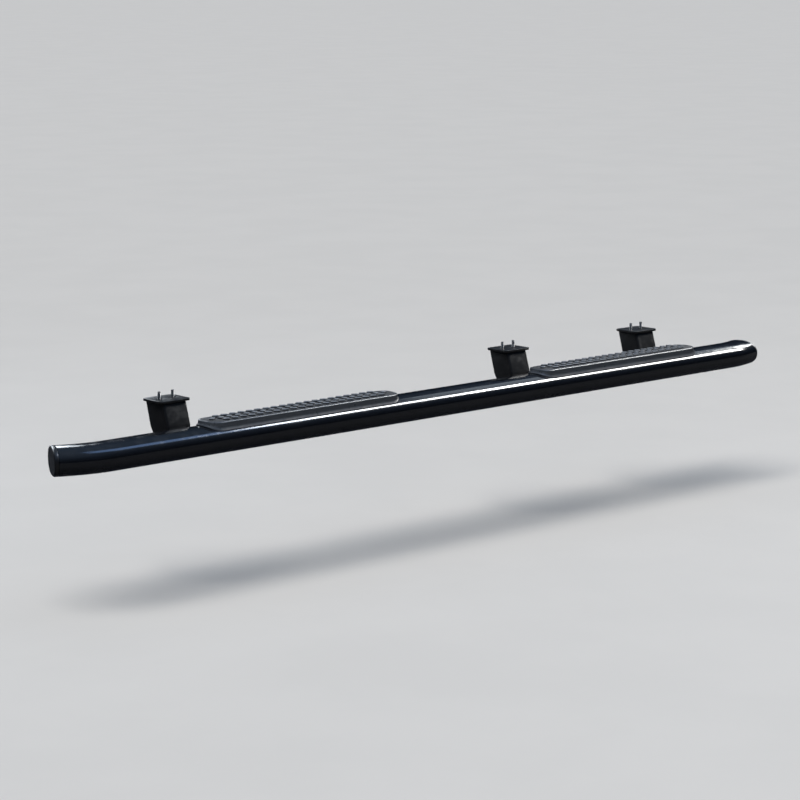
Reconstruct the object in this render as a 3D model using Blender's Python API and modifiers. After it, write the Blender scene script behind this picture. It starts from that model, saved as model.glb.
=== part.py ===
"""Side running board: a bent oval step tube on three pressed brackets, with two moulded step pads.

X runs along the vehicle (towards its front), -Y points outboard, +Z is up.  Everything is modelled
about the middle of the tube and then shifted, so that the origin ends up in the middle of the
mounting face of the middle bracket.
"""
import math

import bmesh
import bpy
from mathutils import Matrix, Vector

# ---- tube -----------------------------------------------------------------------------------
TUBE_HALF_WIDTH = 0.051
TUBE_HALF_HEIGHT = 0.03275
TUBE_ROUNDNESS = 2.3        # 2 is an ellipse, larger is closer to a rounded rectangle
TUBE_WALL = 0.0021
TUBE_SECTION_POINTS = 44
STRAIGHT_REAR = -0.983      # X where the straight length begins and ends
STRAIGHT_FRONT = 1.037
BEND_RADIUS = 0.255
BEND_STEPS = 9
REAR_BEND = math.radians(26)
FRONT_BEND = math.radians(16)
TAIL = 0.008                # straight length left after each bend
DRAIN_RADIUS = 0.004
DRAIN_X = (-0.90, 0.06, 0.95)

# ---- end caps -------------------------------------------------------------------------------
GAP = 0.0003                # play between pieces that touch
CAP_THICKNESS = 0.010
CAP_EDGE = 0.0035
CAP_SKIRT_DEPTH = 0.014
CAP_SKIRT_WALL = 0.0025

# ---- step pads ------------------------------------------------------------------------------
PADS = {"rear": -0.440, "front": 0.610}
PAD_LENGTH = 0.585
PAD_SKIRT_HALF = 0.0410     # half width where the skirt meets the tube
PAD_TOP_HALF = 0.0368
PAD_EDGE_TOP = 0.0436
PAD_CROWN_TOP = 0.0447
PAD_CORNER = 0.034
PAD_END_DRAFT = 0.006
RECESS_LENGTH = 0.557
RECESS_HALF = 0.0318
RECESS_FLOOR = 0.0422
POCKET_TOP = 0.0392
PIN_X = (-0.200, 0.0, 0.200)
THIN_RIB_X = (-0.100, 0.100)
PIN_RIB = 0.012
THIN_RIB = 0.003
POCKET_END = 0.264
PIN_RADIUS = 0.0029

# ---- tread inserts --------------------------------------------------------------------------
TREAD_BASE = 0.0015
TREAD_TOP = 0.0480
TREAD_BAR = (0.0160, 0.0110)
TREAD_BAR_ANGLE = math.radians(25)
TREAD_PITCH = 0.0245
TREAD_COLUMNS = 22
TREAD_ROWS = (-0.0200, 0.0, 0.0200)

# ---- brackets -------------------------------------------------------------------------------
BRACKETS = {"rear": -0.747, "middle": 0.332, "front": 0.805}
SHOE_FACE = 0.056           # flat face of the shoe welded to the inboard side of the tube
SHOE_HALF_HEIGHT = 0.0165
SHOE_PLATE = 0.003
SHOE_LENGTH = 0.064
BRACKET_WIDTH = 0.068
BRACKET_PLATE = 0.004
BRACKET_BOTTOM = -0.030
BRACKET_KNEE = 0.026        # height where the web starts to lean inboard
BRACKET_TOP = 0.080
BRACKET_LEAN = 0.0165
BRACKET_DEPTH = 0.063
BRACKET_FOOT = 0.090
BRACKET_FOLD = 0.007
PLATE_THICKNESS = 0.005
PLATE_LENGTH = 0.086
PLATE_FRONT = 0.068
PLATE_BACK = 0.140
PLATE_CORNER = 0.009
SLOT_LENGTH = 0.017
BAR_SLOT_LENGTH = 0.0136
SLOT_WIDTH = 0.009

# ---- fasteners, M8 --------------------------------------------------------------------------
BOLT_RADIUS = 0.0039
HEAD_RADIUS = 0.0075
HEAD_HEIGHT = 0.0053
FLANGE_RADIUS = 0.0088
FLANGE_HEIGHT = 0.0012
WASHER_RADIUS = 0.0095
WASHER_BORE = 0.0043
WASHER_THICKNESS = 0.0016
NUT_THICKNESS = 0.0065
NUT_FACE = 0.0477
BOLT_HOLE = 0.0046
BAR_BOLT_X = 0.017
BAR_BOLT_LENGTH = 0.026
BODY_BOLT_X = 0.019
BODY_BOLT_Y = 0.106
BODY_BOLT_LENGTH = 0.024

MOUNT_FACE_Z = BRACKET_TOP + GAP + PLATE_THICKNESS
ORIGIN = Vector((BRACKETS["middle"], BODY_BOLT_Y, MOUNT_FACE_Z))

FINISHES = {
    # name: colour, roughness, metallic
    "gloss_black_coat": ((0.010, 0.011, 0.014, 1), 0.16, 0.0),
    "satin_black_coat": ((0.014, 0.014, 0.015, 1), 0.42, 0.0),
    "black_plastic": ((0.022, 0.022, 0.024, 1), 0.55, 0.0),
    "tread_rubber": ((0.030, 0.031, 0.033, 1), 0.72, 0.0),
    "dark_zinc": ((0.20, 0.20, 0.21, 1), 0.38, 0.9),
}


# ---- outlines -------------------------------------------------------------------------------
def oval(grow=0.0, count=TUBE_SECTION_POINTS):
    """Section of the tube, grown outwards by the given amount."""
    points = []
    for step in range(count):
        angle = 2 * math.pi * step / count
        c = math.cos(angle)
        s = math.sin(angle)
        u = math.copysign(abs(c) ** (2 / TUBE_ROUNDNESS), c) * (TUBE_HALF_WIDTH + grow)
        v = math.copysign(abs(s) ** (2 / TUBE_ROUNDNESS), s) * (TUBE_HALF_HEIGHT + grow)
        points.append((u, v))
    return points


def oval_height(y, grow=0.0):
    """Height of the top of the tube at a distance y from its middle."""
    share = abs(y) / (TUBE_HALF_WIDTH + grow)
    return (TUBE_HALF_HEIGHT + grow) * (1 - share ** TUBE_ROUNDNESS) ** (1 / TUBE_ROUNDNESS)


def circle(radius, centre=(0, 0), count=20):
    """Round outline."""
    angles = [2 * math.pi * step / count for step in range(count)]
    return [(centre[0] + radius * math.cos(a), centre[1] + radius * math.sin(a)) for a in angles]


def hexagon(radius, centre=(0, 0)):
    """Six-sided outline."""
    return circle(radius, centre, 6)


def rounded(corners, steps=4):
    """Outline through (u, v, radius) corners, each rounded with its own radius."""
    points = []
    count = len(corners)
    for index, (u, v, radius) in enumerate(corners):
        here = Vector((u, v))
        if radius == 0:
            points.append((u, v))
            continue
        before = (Vector(corners[index - 1][:2]) - here).normalized()
        after = (Vector(corners[(index + 1) % count][:2]) - here).normalized()
        half = before.angle(after) / 2
        centre = here + (before + after).normalized() * radius / math.sin(half)
        start = here + before * radius / math.tan(half) - centre
        end = here + after * radius / math.tan(half) - centre
        sweep = start.angle_signed(end)
        for step in range(steps + 1):
            arm = start.copy()
            arm.rotate(Matrix.Rotation(-sweep * step / steps, 2))
            points.append(tuple(centre + arm))
    return points


def rounded_box(length, width, radius, centre=(0, 0), steps=6):
    """Rectangle with equal rounded corners."""
    u = length / 2
    v = width / 2
    corners = [(-u, -v), (u, -v), (u, v), (-u, v)]
    return rounded([(centre[0] + a, centre[1] + b, radius) for a, b in corners], steps)


def slot_outline(length, centre):
    """Long hole with round ends."""
    return rounded_box(length, SLOT_WIDTH, SLOT_WIDTH / 2 - 0.00001, centre)


# ---- solids ---------------------------------------------------------------------------------
def fresh_mesh(obj):
    """Mesh of a curve object, welded, with the temporary object removed."""
    bpy.context.view_layer.update()
    mesh = bpy.data.meshes.new_from_object(obj.evaluated_get(bpy.context.evaluated_depsgraph_get()))
    bpy.data.objects.remove(obj, do_unlink=True)
    form = bmesh.new()
    form.from_mesh(mesh)
    bmesh.ops.remove_doubles(form, verts=form.verts, dist=1e-6)
    bmesh.ops.recalc_face_normals(form, faces=form.faces)
    form.to_mesh(mesh)
    form.free()
    return mesh


def prism(loops, axis, low, high):
    """Solid with the given outline, running from low to high along an axis.

    Along X the outline is (Y, Z), along Y it is (X, Z) and along Z it is (X, Y).
    """
    curve = bpy.data.curves.new("outline", "CURVE")
    curve.dimensions = "2D"
    curve.fill_mode = "BOTH"
    curve.extrude = (high - low) / 2
    for loop in loops:
        spline = curve.splines.new("POLY")
        spline.points.add(len(loop) - 1)
        for point, (u, v) in zip(spline.points, loop):
            point.co = (u, v, 0, 1)
        spline.use_cyclic_u = True
    obj = bpy.data.objects.new("outline", curve)
    bpy.context.scene.collection.objects.link(obj)
    mesh = fresh_mesh(obj)
    middle = (low + high) / 2
    frames = {
        "X": Matrix(((0, 0, 1, middle), (1, 0, 0, 0), (0, 1, 0, 0), (0, 0, 0, 1))),
        "Y": Matrix(((1, 0, 0, 0), (0, 0, -1, middle), (0, 1, 0, 0), (0, 0, 0, 1))),
        "Z": Matrix(((1, 0, 0, 0), (0, 1, 0, 0), (0, 0, 1, middle), (0, 0, 0, 1))),
    }
    mesh.transform(frames[axis])
    return mesh


def gather(meshes):
    """One mesh holding several separate solids."""
    form = bmesh.new()
    for mesh in meshes:
        form.from_mesh(mesh)
    result = bpy.data.meshes.new("group")
    form.to_mesh(result)
    form.free()
    return result


def fold_edges(mesh, radius, test):
    """Round the edges whose two ends both pass the test."""
    form = bmesh.new()
    form.from_mesh(mesh)
    bmesh.ops.dissolve_limit(form, angle_limit=0.001, verts=form.verts, edges=form.edges)
    edges = [e for e in form.edges if all(test(v.co) for v in e.verts)]
    bmesh.ops.bevel(form, geom=edges, offset=radius, segments=3, profile=0.5, affect="EDGES")
    form.to_mesh(mesh)
    form.free()


def place(name, mesh, finish=None, tool=False, at=(0, 0, 0), turn=None):
    """Put a mesh into the model, or among the cutters."""
    obj = bpy.data.objects.new(name, mesh)
    if turn is not None:
        mesh.transform(turn)
    obj.location = at
    if tool:
        cutters.objects.link(obj)
        obj.hide_render = True
        obj.display_type = "WIRE"
        return obj
    pieces.objects.link(obj)
    mesh.materials.clear()
    mesh.materials.append(materials[finish])
    return obj


def combine(obj, mesh, operation, at=(0, 0, 0)):
    """Add, subtract or intersect a helper solid."""
    tool = place(obj.name + "_" + operation.lower(), mesh, tool=True, at=at)
    step = obj.modifiers.new(operation.title(), "BOOLEAN")
    step.operation = operation
    step.solver = "EXACT"
    step.object = tool


def soften(obj, width, segments=2, angle=40):
    """Break the sharp edges of a piece."""
    step = obj.modifiers.new("Bevel", "BEVEL")
    step.width = width
    step.segments = segments
    step.limit_method = "ANGLE"
    step.angle_limit = math.radians(angle)


def smooth(obj, angle=35):
    """Shade the curved faces smoothly and keep real edges crisp."""
    obj.data.shade_smooth()
    obj.data.set_sharp_from_angle(angle=math.radians(angle))


# ---- tube and caps --------------------------------------------------------------------------
def tube_path():
    """Centre line of the tube as (X, Y) points: rear bend, straight length, front bend."""
    points = []
    for start, sign, bend in ((STRAIGHT_REAR, -1, REAR_BEND), (STRAIGHT_FRONT, 1, FRONT_BEND)):
        arc = []
        for step in range(BEND_STEPS + 1):
            angle = bend * step / BEND_STEPS
            x = start + sign * BEND_RADIUS * math.sin(angle)
            arc.append((x, BEND_RADIUS * (1 - math.cos(angle))))
        x, y = arc[-1]
        arc.append((x + sign * TAIL * math.cos(bend), y + TAIL * math.sin(bend)))
        points = list(reversed(arc)) if sign < 0 else points + arc
    return points


def make_tube():
    """Hollow oval tube bent inboard at both ends, with its drilled holes."""
    section = bpy.data.curves.new("section", "CURVE")
    section.dimensions = "2D"
    spline = section.splines.new("POLY")
    spline.points.add(TUBE_SECTION_POINTS - 1)
    for point, (u, v) in zip(spline.points, oval()):
        point.co = (u, v, 0, 1)
    spline.use_cyclic_u = True
    section_obj = bpy.data.objects.new("tube_section", section)
    cutters.objects.link(section_obj)

    path = bpy.data.curves.new("path", "CURVE")
    path.dimensions = "3D"
    path.twist_mode = "Z_UP"
    path.bevel_mode = "OBJECT"
    path.bevel_object = section_obj
    spline = path.splines.new("POLY")
    line = tube_path()
    spline.points.add(len(line) - 1)
    for point, (x, y) in zip(spline.points, line):
        point.co = (x, y, 0, 1)
    path_obj = bpy.data.objects.new("path", path)
    bpy.context.scene.collection.objects.link(path_obj)

    tube = place("main_tube", fresh_mesh(path_obj), "gloss_black_coat")
    bpy.data.objects.remove(section_obj, do_unlink=True)
    wall = tube.modifiers.new("Wall", "SOLIDIFY")
    wall.thickness = TUBE_WALL
    wall.offset = -1
    wall.use_even_offset = True
    smooth(tube)

    holes = []
    for pad_x in PADS.values():
        for pin_x in PIN_X:
            spot = circle(PIN_RADIUS + 0.0014, (pad_x + pin_x, 0), 16)
            holes.append(prism([spot], "Z", 0.02, 0.04))
    for bracket_x in BRACKETS.values():
        for side in (-1, 1):
            spot = circle(BOLT_HOLE, (bracket_x + side * BAR_BOLT_X, 0), 16)
            holes.append(prism([spot], "Y", 0.040, 0.060))
    for drain_x in DRAIN_X:
        holes.append(prism([circle(DRAIN_RADIUS, (drain_x, 0), 16)], "Z", -0.04, -0.02))
    combine(tube, gather(holes), "DIFFERENCE")


def make_caps():
    """Moulded plugs closing both ends of the tube."""
    ends = {"rear": (tube_path()[0], math.pi - REAR_BEND), "front": (tube_path()[-1], FRONT_BEND)}
    for name, ((x, y), heading) in ends.items():
        plate = prism([oval()], "X", GAP, GAP + CAP_THICKNESS)
        rim = GAP + CAP_THICKNESS - 0.0001
        fold_edges(plate, CAP_EDGE, lambda co: co.x > rim)
        inner = TUBE_WALL + GAP
        ring = [oval(-inner), oval(-inner - CAP_SKIRT_WALL)]
        skirt = prism(ring, "X", -CAP_SKIRT_DEPTH, GAP + 0.002)
        turn = Matrix.Rotation(heading, 4, "Z")
        skirt.transform(turn)
        cap = place("end_cap_" + name, plate, "black_plastic", at=(x, y, 0), turn=turn)
        combine(cap, skirt, "UNION", at=(x, y, 0))
        smooth(cap)


# ---- pads -----------------------------------------------------------------------------------
def pad_section():
    """Pad section: follows the tube below, flat and slightly crowned on top."""
    half = PAD_SKIRT_HALF
    below = []
    for step in range(17):
        y = -half + 2 * half * step / 16
        below.append((y, oval_height(y, GAP), 0))
    lip = oval_height(half, GAP) + 0.0022
    above = [
        (half, lip, 0.0008),
        (PAD_TOP_HALF, PAD_EDGE_TOP, 0.0035),
        (0.015, PAD_CROWN_TOP, 0),
        (-0.015, PAD_CROWN_TOP, 0),
        (-PAD_TOP_HALF, PAD_EDGE_TOP, 0.0035),
        (-half, lip, 0.0008),
    ]
    return rounded(below + above)


def pad_pockets():
    """Hollow bays under the pad, between its ribs."""
    ribs = [(x, PIN_RIB) for x in PIN_X] + [(x, THIN_RIB) for x in THIN_RIB_X]
    bays = []
    start = -POCKET_END
    for x, thickness in sorted(ribs):
        bays.append((start, x - thickness / 2))
        start = x + thickness / 2
    bays.append((start, POCKET_END))
    side = PAD_TOP_HALF - 0.0035
    foot = side + 0.004
    top = POCKET_TOP
    outline = rounded([(-foot, 0, 0), (foot, 0, 0), (side, top, 0.003), (-side, top, 0.003)])
    return gather([prism([outline], "X", low, high) for low, high in bays])


def make_pad(name, middle):
    """Hard pad base, its soft tread insert and the push-in pins that hold it to the tube."""
    at = (middle, 0, 0)
    length = PAD_LENGTH
    body = prism([pad_section()], "X", -length / 2, length / 2)
    base = place("pad_base_" + name, body, "black_plastic", at=at)

    outline = rounded_box(length, 2 * PAD_SKIRT_HALF + 0.0004, PAD_CORNER, steps=8)
    plan = prism([outline], "Z", 0.010, 0.050)
    for vertex in plan.vertices:
        if vertex.co.z > 0.03:
            vertex.co.x *= 1 - 2 * PAD_END_DRAFT / length
    combine(base, plan, "INTERSECT", at=at)
    recess = rounded_box(RECESS_LENGTH, 2 * RECESS_HALF, 0.026, steps=8)
    combine(base, gather([prism([recess], "Z", RECESS_FLOOR, 0.060)]), "DIFFERENCE", at=at)
    combine(base, pad_pockets(), "DIFFERENCE", at=at)
    sockets = [prism([circle(PIN_RADIUS + 0.0002, (x, 0), 12)], "Z", 0.02, 0.0402) for x in PIN_X]
    combine(base, gather(sockets), "DIFFERENCE", at=at)
    smooth(base, 30)

    low = RECESS_FLOOR + GAP
    sheet = rounded_box(RECESS_LENGTH - 2 * GAP, 2 * (RECESS_HALF - GAP), 0.0257, steps=8)
    tread = place("tread_" + name, prism([sheet], "Z", low, low + TREAD_BASE), "tread_rubber", at=at)
    bars = []
    for row, y in enumerate(TREAD_ROWS):
        lean = TREAD_BAR_ANGLE * (1 if row % 2 else -1)
        for column in range(TREAD_COLUMNS):
            x = (column - (TREAD_COLUMNS - 1) / 2) * TREAD_PITCH
            if abs(x) > RECESS_LENGTH / 2 - 0.022 and row != 1:
                continue
            bar = prism([rounded_box(TREAD_BAR[1], TREAD_BAR[0], 0)], "Z", low + 0.0005, TREAD_TOP)
            bar.transform(Matrix.Translation((x, y, 0)) @ Matrix.Rotation(lean, 4, "Z"))
            bars.append(bar)
    combine(tread, gather(bars), "UNION", at=at)

    radii = (0.0012, 0.0036, 0.0024, 0.0037, PIN_RADIUS, PIN_RADIUS)
    heights = (0.0180, 0.0232, 0.0236, 0.0286, 0.0290, 0.0396)
    for number, x in enumerate(PIN_X, 1):
        lathe("pad_pin_" + name + "_" + str(number), radii, heights, (middle + x, 0, 0), "black_plastic")


def lathe(name, radii, heights, at, finish):
    """Round piece turned about Z from radii at rising heights."""
    mesh = bpy.data.meshes.new(name)
    points = [(0, 0, heights[0])]
    points += [(radius, 0, height) for radius, height in zip(radii, heights)]
    points.append((0, 0, heights[-1]))
    mesh.from_pydata(points, [(i, i + 1) for i in range(len(points) - 1)], [])
    obj = place(name, mesh, finish, at=at)
    turn = obj.modifiers.new("Turn", "SCREW")
    turn.axis = "Z"
    turn.angle = 2 * math.pi
    turn.steps = 16
    turn.render_steps = 16
    turn.use_merge_vertices = True
    turn.merge_threshold = 0.00001
    turn.use_normal_calculate = True
    return obj


# ---- brackets and fasteners -----------------------------------------------------------------
def make_shoe(name, middle):
    """Pressed shoe welded to the inboard side of the tube, giving the bracket a flat seat."""
    face = SHOE_FACE
    top = SHOE_HALF_HEIGHT
    back = face - SHOE_PLATE
    under = top - SHOE_PLATE
    corners = [
        (0.030, -top, 0), (face, -top, 0.005), (face, top, 0.005), (0.030, top, 0),
        (0.030, under, 0), (back, under, 0.002), (back, -under, 0.002), (0.030, -under, 0),
    ]
    half = SHOE_LENGTH / 2
    body = prism([rounded(corners)], "X", middle - half, middle + half)
    shoe = place("shoe_" + name, body, "gloss_black_coat")
    combine(shoe, prism([oval(GAP)], "X", middle - 0.05, middle + 0.05), "DIFFERENCE")
    spots = [circle(BOLT_HOLE, (middle + side * BAR_BOLT_X, 0), 16) for side in (-1, 1)]
    combine(shoe, gather([prism([spot], "Y", 0.050, 0.060) for spot in spots]), "DIFFERENCE")
    smooth(shoe)


def make_bracket(name, middle):
    """Pressed channel bracket and the slotted plate welded across its top."""
    web = SHOE_FACE + GAP
    half = BRACKET_WIDTH / 2
    side = [
        (web, BRACKET_BOTTOM, 0),
        (BRACKET_FOOT, BRACKET_BOTTOM, 0.010),
        (BRACKET_FOOT + 0.006, -0.014, 0.012),
        (web + BRACKET_DEPTH, BRACKET_KNEE - 0.004, 0.020),
        (web + BRACKET_LEAN + BRACKET_DEPTH, BRACKET_TOP, 0),
        (web + BRACKET_LEAN, BRACKET_TOP, 0),
        (web, BRACKET_KNEE, 0),
    ]
    body = prism([rounded(side)], "X", -half, half)
    fold_edges(body, BRACKET_FOLD, lambda co: on_web(co, web))
    body.transform(Matrix.Translation((middle, 0, 0)))
    bracket = place("bracket_" + name, body, "satin_black_coat")

    inside = web + BRACKET_PLATE
    above = BRACKET_TOP + 0.002
    behind = web + BRACKET_LEAN + BRACKET_DEPTH + 0.030
    lean = BRACKET_LEAN * (above - BRACKET_KNEE) / (BRACKET_TOP - BRACKET_KNEE)
    channel = [
        (inside, BRACKET_BOTTOM - 0.002, 0),
        (behind, BRACKET_BOTTOM - 0.002, 0),
        (behind, above, 0),
        (inside + lean, above, 0),
        (inside, BRACKET_KNEE, 0),
    ]
    inner = half - BRACKET_PLATE
    hollow = prism([rounded(channel)], "X", -inner, inner)
    fold_edges(hollow, BRACKET_FOLD - BRACKET_PLATE, lambda co: on_web(co, inside))
    combine(bracket, hollow, "DIFFERENCE", at=(middle, 0, 0))
    slots = []
    for sign in (-1, 1):
        slot = slot_outline(BAR_SLOT_LENGTH, (middle + sign * BAR_BOLT_X, 0))
        slots.append(prism([slot], "Y", web - 0.004, inside + 0.004))
    combine(bracket, gather(slots), "DIFFERENCE")
    smooth(bracket)

    low = BRACKET_TOP + GAP
    centre = (middle, (PLATE_FRONT + PLATE_BACK) / 2)
    outline = rounded_box(PLATE_LENGTH, PLATE_BACK - PLATE_FRONT, PLATE_CORNER, centre, 5)
    plate = place("top_plate_" + name, prism([outline], "Z", low, MOUNT_FACE_Z), "satin_black_coat")
    slots = []
    for sign in (-1, 1):
        slot = slot_outline(SLOT_LENGTH, (middle + sign * BODY_BOLT_X, BODY_BOLT_Y))
        slots.append(prism([slot], "Z", low - 0.002, MOUNT_FACE_Z + 0.002))
    combine(plate, gather(slots), "DIFFERENCE")
    smooth(plate)


def on_web(co, web):
    """True on the outboard face of the bracket, which leans inboard above the knee."""
    rise = max(0.0, co.z - BRACKET_KNEE)
    face = web + BRACKET_LEAN * rise / (BRACKET_TOP - BRACKET_KNEE)
    return abs(co.y - face) < 0.0002


def make_bolt(name, at, turn, length):
    """Hexagon flange bolt: its seat is at the given point and its shank runs along local +Z."""
    radii = (FLANGE_RADIUS - 0.0006, FLANGE_RADIUS, BOLT_RADIUS, BOLT_RADIUS, BOLT_RADIUS - 0.0007)
    heights = (-FLANGE_HEIGHT, 0.0, 0.0, length - 0.0008, length)
    bolt = lathe(name, radii, heights, at, "dark_zinc")
    bolt.data.transform(turn)
    bolt.modifiers["Turn"].axis = "Z" if turn == Matrix.Identity(4) else "Y"
    head = prism([hexagon(HEAD_RADIUS)], "Z", -HEAD_HEIGHT - FLANGE_HEIGHT, -FLANGE_HEIGHT / 2)
    head.transform(turn)
    combine(bolt, head, "UNION", at=at)


def make_washer(name, at, axis):
    """Flat washer starting at the given point and running along the axis."""
    loops = [circle(WASHER_RADIUS), circle(WASHER_BORE)]
    place(name, prism(loops, axis, 0, WASHER_THICKNESS), "dark_zinc", at=at)


def make_fasteners(name, middle):
    """Two bolts from the bracket into nuts inside the tube, and two up into the body."""
    outboard = Matrix.Rotation(math.pi / 2, 4, "X")
    web_back = SHOE_FACE + GAP + BRACKET_PLATE + GAP
    under_plate = BRACKET_TOP - WASHER_THICKNESS
    for number, sign in enumerate((-1, 1), 1):
        tag = name + "_" + str(number)
        x = middle + sign * BAR_BOLT_X
        make_washer("bar_washer_" + tag, (x, web_back, 0), "Y")
        seat = web_back + WASHER_THICKNESS + GAP
        make_bolt("bar_bolt_" + tag, (x, seat, 0), outboard, BAR_BOLT_LENGTH)
        loops = [hexagon(HEAD_RADIUS), circle(WASHER_BORE, count=16)]
        nut = prism(loops, "Y", NUT_FACE - NUT_THICKNESS, NUT_FACE)
        place("weld_nut_" + tag, nut, "dark_zinc", at=(x, 0, 0))

        x = middle + sign * BODY_BOLT_X
        make_washer("body_washer_" + tag, (x, BODY_BOLT_Y, under_plate), "Z")
        seat = under_plate - GAP
        make_bolt("body_bolt_" + tag, (x, BODY_BOLT_Y, seat), Matrix.Identity(4), BODY_BOLT_LENGTH)


# ---- build ----------------------------------------------------------------------------------
for old in list(bpy.data.objects):
    bpy.data.objects.remove(old, do_unlink=True)

pieces = bpy.data.collections.new("running_board")
cutters = bpy.data.collections.new("cutters")
bpy.context.scene.collection.children.link(pieces)
bpy.context.scene.collection.children.link(cutters)

materials = {}
for finish_name, (colour, roughness, metallic) in FINISHES.items():
    material = bpy.data.materials.new(finish_name)
    material.use_nodes = True
    shader = material.node_tree.nodes["Principled BSDF"]
    shader.inputs["Base Color"].default_value = colour
    shader.inputs["Roughness"].default_value = roughness
    shader.inputs["Metallic"].default_value = metallic
    material.diffuse_color = colour
    materials[finish_name] = material

make_tube()
make_caps()
for pad_name, pad_x in PADS.items():
    make_pad(pad_name, pad_x)
for bracket_name, bracket_x in BRACKETS.items():
    make_shoe(bracket_name, bracket_x)
    make_bracket(bracket_name, bracket_x)
    make_fasteners(bracket_name, bracket_x)

for part in list(pieces.objects) + list(cutters.objects):
    part.location -= ORIGIN
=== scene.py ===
# %% [markdown]
# A side running board: an oval steel tube bent inboard at both ends, two moulded step pads on top
# of it and three pressed brackets that carry it.  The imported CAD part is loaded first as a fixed
# frame.  Every visible piece below is measured from that frame, so it lands where the CAD says.

import math

import bmesh
import bpy
from mathutils import Matrix, Vector


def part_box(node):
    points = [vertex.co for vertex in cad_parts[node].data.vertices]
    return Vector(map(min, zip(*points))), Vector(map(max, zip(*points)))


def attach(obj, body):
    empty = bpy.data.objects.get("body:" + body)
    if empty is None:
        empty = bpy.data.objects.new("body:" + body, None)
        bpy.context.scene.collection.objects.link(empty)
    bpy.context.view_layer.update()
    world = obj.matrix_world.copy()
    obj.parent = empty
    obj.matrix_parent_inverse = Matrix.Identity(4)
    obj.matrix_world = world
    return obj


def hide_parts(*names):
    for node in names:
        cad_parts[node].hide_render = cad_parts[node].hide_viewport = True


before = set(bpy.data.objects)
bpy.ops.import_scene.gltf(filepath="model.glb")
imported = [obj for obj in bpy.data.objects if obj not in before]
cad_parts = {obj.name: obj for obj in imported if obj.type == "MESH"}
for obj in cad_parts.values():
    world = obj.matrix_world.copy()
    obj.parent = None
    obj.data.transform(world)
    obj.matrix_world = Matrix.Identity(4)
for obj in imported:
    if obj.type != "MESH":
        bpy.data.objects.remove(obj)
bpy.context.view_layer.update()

# %% [markdown]
# The oval of the tube and the bends at its ends are named once, because every other piece is
# fitted to them.  The tube's centre line is read from the CAD box of the tube, so only the shape
# numbers are written here.  The frame starts at the middle mount, so the middle of the board's
# straight run is named as well.

# %% Shape numbers shared by the pieces
HALF_WIDTH, HALF_HEIGHT, ROUNDNESS = 0.051, 0.03275, 2.3
TUBE_WALL = 0.0021
BEND_RADIUS, TAIL = 0.255, 0.008
REAR_BEND, FRONT_BEND = math.radians(26), math.radians(16)
GAP = 0.0003
BOARD_MIDDLE = -0.332

tube_low, tube_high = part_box("main_tube")
AXIS_Z = (tube_low.z + tube_high.z) / 2
AXIS_Y = tube_low.y + HALF_WIDTH


def end_reach(bend):
    """How far a bent end runs past the straight length, to the far corner of its cut."""
    return (BEND_RADIUS + HALF_WIDTH) * math.sin(bend) + TAIL * math.cos(bend)


STRAIGHT_REAR = tube_low.x + end_reach(REAR_BEND)
STRAIGHT_FRONT = tube_high.x - end_reach(FRONT_BEND)
print("straight run of the tube", round(STRAIGHT_REAR, 4), round(STRAIGHT_FRONT, 4))

# %% [markdown]
# Pressed and moulded parts are mostly one outline carried along a line.  A loft of rings does
# that: each ring is the outline at one station, and neighbouring rings are joined with quads.
# It gives even faces that shade cleanly, which a gloss finish shows up at once.


# %% Outlines and lofts
def oval(grow=0.0, count=128):
    """The tube's section as (across, up) pairs, grown outwards by some amount."""
    pairs = []
    for step in range(count):
        c, s = math.cos(2 * math.pi * step / count), math.sin(2 * math.pi * step / count)
        across = math.copysign(abs(c) ** (2 / ROUNDNESS), c) * (HALF_WIDTH + grow)
        up = math.copysign(abs(s) ** (2 / ROUNDNESS), s) * (HALF_HEIGHT + grow)
        pairs.append((across, up))
    return pairs


def crown(y):
    """Height of the tube's top above its axis, with a gap, at a distance y from the axis."""
    share = min(abs(y) / (HALF_WIDTH + GAP), 1)
    return (HALF_HEIGHT + GAP) * (1 - share**ROUNDNESS) ** (1 / ROUNDNESS)


def flank(z):
    """Distance of the tube's side from its axis, with a gap, at a height z."""
    share = min(abs(z) / (HALF_HEIGHT + GAP), 1)
    return (HALF_WIDTH + GAP) * (1 - share**ROUNDNESS) ** (1 / ROUNDNESS)


def rounded(corners, steps=6):
    """Closed outline through (u, v, radius) corners, each rounded with its own radius."""
    points = []
    for index, (u, v, radius) in enumerate(corners):
        here = Vector((u, v))
        if radius <= 0:
            points.append((u, v))
            continue
        before = (Vector(corners[index - 1][:2]) - here).normalized()
        after = (Vector(corners[(index + 1) % len(corners)][:2]) - here).normalized()
        half = before.angle(after) / 2
        centre = here + (before + after).normalized() * radius / math.sin(half)
        start = here + before * radius / math.tan(half) - centre
        sweep = start.angle_signed(here + after * radius / math.tan(half) - centre)
        for step in range(steps + 1):
            arm = start.copy()
            arm.rotate(Matrix.Rotation(-sweep * step / steps, 2))
            points.append(tuple(centre + arm))
    return points


def rounded_box(length, width, radius, steps=8):
    """Rectangle with equal rounded corners, about (0, 0)."""
    u, v = length / 2, width / 2
    return rounded([(-u, -v, radius), (u, -v, radius), (u, v, radius), (-u, v, radius)], steps)


def loft(rings, ring_of_rings=False):
    """Mesh through rings of equal length, closed with a face at each end or end to end."""
    count = len(rings[0])
    form = bmesh.new()
    rows = [[form.verts.new(p) for p in ring] for ring in rings]
    joins = len(rows) if ring_of_rings else len(rows) - 1
    for row in range(joins):
        a, b = rows[row], rows[(row + 1) % len(rows)]
        for i in range(count):
            j = (i + 1) % count
            form.faces.new((a[i], a[j], b[j], b[i]))
    if not ring_of_rings:
        form.faces.new(rows[0])
        form.faces.new(rows[-1])
    bmesh.ops.recalc_face_normals(form, faces=form.faces)
    mesh = bpy.data.meshes.new("loft")
    form.to_mesh(mesh)
    form.free()
    return mesh


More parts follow.
